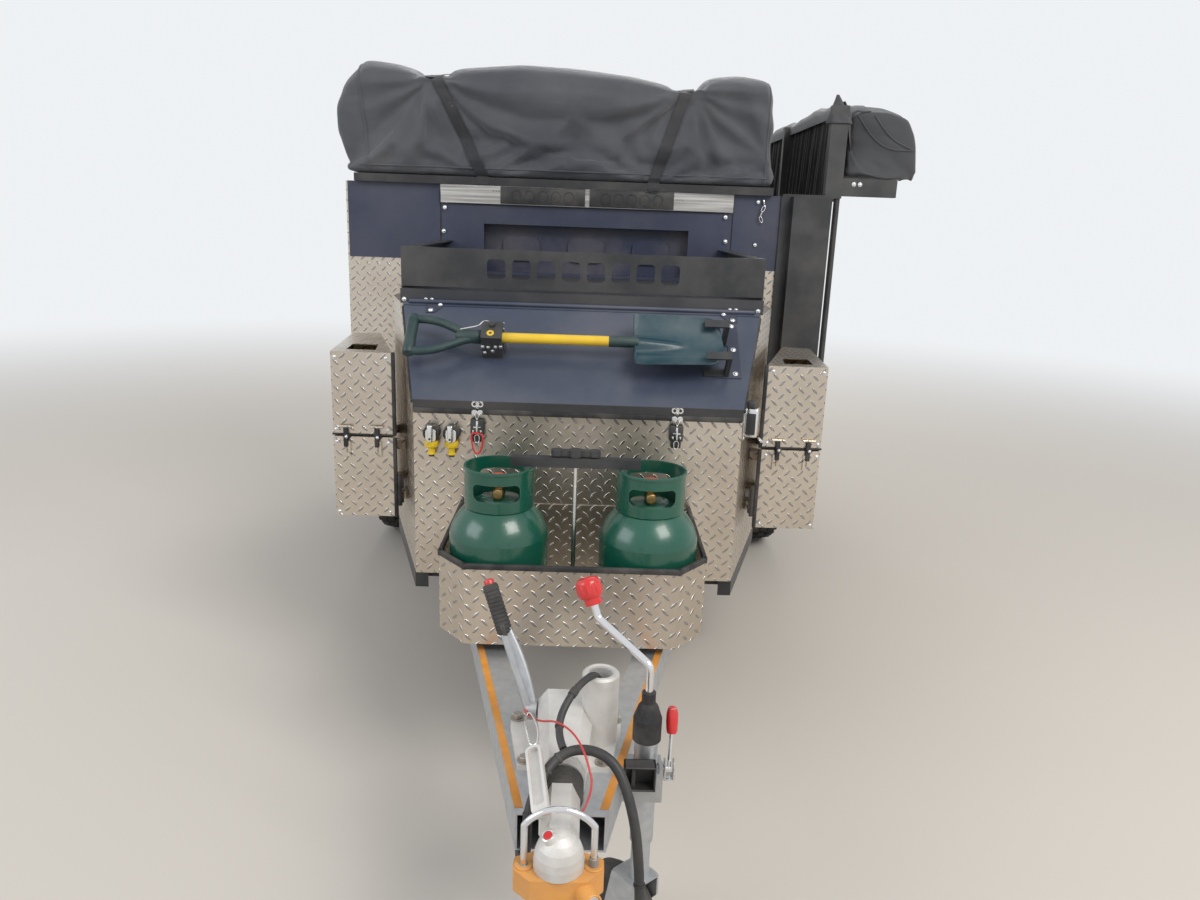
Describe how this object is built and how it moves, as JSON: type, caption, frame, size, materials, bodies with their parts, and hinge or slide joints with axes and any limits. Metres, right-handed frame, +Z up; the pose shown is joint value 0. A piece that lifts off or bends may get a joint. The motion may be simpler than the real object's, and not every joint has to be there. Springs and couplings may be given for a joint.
{
  "type": "off-road camping trailer",
  "caption": "Box camping trailer with A-frame drawbar, nose locker, gas tray, water can holders, folded roof tent and rolled side awning; wheels, doors, lid and jockey wheel move.",
  "frame": {"origin": "centre of the ball socket in the coupling head, half a metre above the ground", "axes": "+Y rearwards along the trailer, +X to its left, the kerb side, +Z up"},
  "size_m": [2.3433, 4.5581, 2.132],
  "materials": {
    "black_frame": "satin",
    "blue_paint": "satin",
    "cable_sheath": "matte",
    "cast_metal": "satin",
    "charcoal_paint": "satin",
    "checker_plate": "satin",
    "chrome": "polished",
    "galvanised": "satin",
    "green_paint": "gloss",
    "green_plastic": "satin",
    "lamp": "gloss",
    "orange_paint": "satin",
    "red_sheath": "satin",
    "rim_metal": "satin",
    "rubber": "matte",
    "tent_fabric": "matte",
    "tyre": "matte",
    "yellow_plastic": "matte"
  },
  "bodies": {
    "trailer": {"awning_bag": "tent_fabric", "awning_frame": "black_frame", "axle_arms": "black_frame", "axle_beam": "black_frame", "bellows": "rubber", "body_front": "checker_plate", "body_rear": "checker_plate", "body_roof": "checker_plate", "body_side_left": "checker_plate", "body_side_right": "checker_plate", "breakaway_cable": "red_sheath", "can_holders": "checker_plate", "chassis_rails": "black_frame", "coupling_head": "cast_metal", "coupling_housing": "cast_metal", "cross_members": "black_frame", "drawbar_rails": "galvanised", "floors": "checker_plate", "front_panels": "blue_paint", "gas_clamp": "black_frame", "gas_cylinders": "green_paint", "gas_tray": "checker_plate", "handbrake_lever": "galvanised", "jockey_clamp": "black_frame", "lead_branch": "cable_sheath", "nose_deck": "charcoal_paint", "nose_front": "checker_plate", "nose_sides": "checker_plate", "rack": "black_frame", "shackle": "chrome", "tail_lamps": "lamp", "tent_base": "black_frame", "tent_cover": "tent_fabric", "tow_lead": "cable_sheath", "tow_plug": "cable_sheath", "water_cans": "yellow_plastic", "wheel_arches": "black_frame"},
    "wheel_left": {"tyre_left": "tyre", "rim_left": "rim_metal"},
    "wheel_right": {"tyre_right": "tyre", "rim_right": "rim_metal"},
    "jockey_leg": {"jockey_tube": "galvanised", "jockey_boot": "rubber", "jockey_crank": "chrome"},
    "jockey_foot": {"jockey_ram": "galvanised"},
    "jockey_swivel": {"jockey_fork": "galvanised"},
    "jockey_roller": {"jockey_wheel": "rubber"},
    "nose_lid": {"nose_lid": "blue_paint", "shovel": "green_plastic", "shovel_clamps": "black_frame"},
    "can_cover_left": {"can_cover_left": "checker_plate"},
    "can_cover_right": {"can_cover_right": "checker_plate"},
    "hatch_left": {"hatch_left": "checker_plate"},
    "side_door_right": {"side_door_right": "checker_plate"},
    "rear_door": {"rear_door": "checker_plate", "tyre_spare": "tyre", "rim_spare": "rim_metal"},
    "stabiliser_left": {"stabiliser_left": "black_frame"},
    "stabiliser_right": {"stabiliser_right": "black_frame"},
    "hitch_lock": {"hitch_lock": "orange_paint"}
  },
  "joints": [
    {"name": "wheel_left_spin", "type": "hinge", "parent": "trailer", "child": "wheel_left", "pos_m": [0.84, 3.03, -0.1], "axis": [1, 0, 0], "continuous": true},
    {"name": "wheel_right_spin", "type": "hinge", "parent": "trailer", "child": "wheel_right", "pos_m": [-0.84, 3.03, -0.1], "axis": [1, 0, 0], "continuous": true},
    {"name": "jockey_clamp_slide", "type": "slide", "parent": "trailer", "child": "jockey_leg", "axis": [0, 0, 1], "range_m": [0, 0.1]},
    {"name": "jockey_screw", "type": "slide", "parent": "jockey_leg", "child": "jockey_foot", "axis": [0, 0, 1], "range_m": [0, 0.085]},
    {"name": "jockey_swivel_turn", "type": "hinge", "parent": "jockey_foot", "child": "jockey_swivel", "pos_m": [0.165, 0.29, -0.282], "axis": [0, 0, 1], "continuous": true},
    {"name": "jockey_wheel_spin", "type": "hinge", "parent": "jockey_swivel", "child": "jockey_roller", "pos_m": [0.12965, 0.33213, -0.4], "axis": [0.766, 0.6428, 0], "continuous": true},
    {"name": "nose_lid_hinge", "type": "hinge", "parent": "trailer", "child": "nose_lid", "pos_m": [0, 1.5077, 0.783], "axis": [-1, 0, 0], "range_deg": [0, 75]},
    {"name": "can_cover_left_hinge", "type": "hinge", "parent": "trailer", "child": "can_cover_left", "pos_m": [0.70997, 1.83606, 0.372], "axis": [-0.9552, 0.2961, 0], "range_deg": [0, 100]},
    {"name": "can_cover_right_hinge", "type": "hinge", "parent": "trailer", "child": "can_cover_right", "pos_m": [-0.70997, 1.83606, 0.372], "axis": [-0.9552, -0.2961, 0], "range_deg": [0, 100]},
    {"name": "hatch_left_hinge", "type": "hinge", "parent": "trailer", "child": "hatch_left", "pos_m": [0.953, 3.26, 1.098], "axis": [0, -1, 0], "range_deg": [0, 85]},
    {"name": "side_door_right_hinge", "type": "hinge", "parent": "trailer", "child": "side_door_right", "pos_m": [-0.953, 2.398, 0.8], "axis": [0, 0, 1], "range_deg": [0, 105]},
    {"name": "rear_door_hinge", "type": "hinge", "parent": "trailer", "child": "rear_door", "pos_m": [-0.702, 4.208, 0.6], "axis": [0, 0, 1], "range_deg": [0, 110]},
    {"name": "stabiliser_left_swing", "type": "hinge", "parent": "trailer", "child": "stabiliser_left", "pos_m": [0.52, 4.05, -0.12], "axis": [1, 0, 0], "range_deg": [0, 90]},
    {"name": "stabiliser_right_swing", "type": "hinge", "parent": "trailer", "child": "stabiliser_right", "pos_m": [-0.52, 4.05, -0.12], "axis": [1, 0, 0], "range_deg": [0, 90]},
    {"name": "hitch_lock_drop", "type": "slide", "parent": "trailer", "child": "hitch_lock", "axis": [0, 0, -1], "range_m": [0, 0.2]}
  ]
}
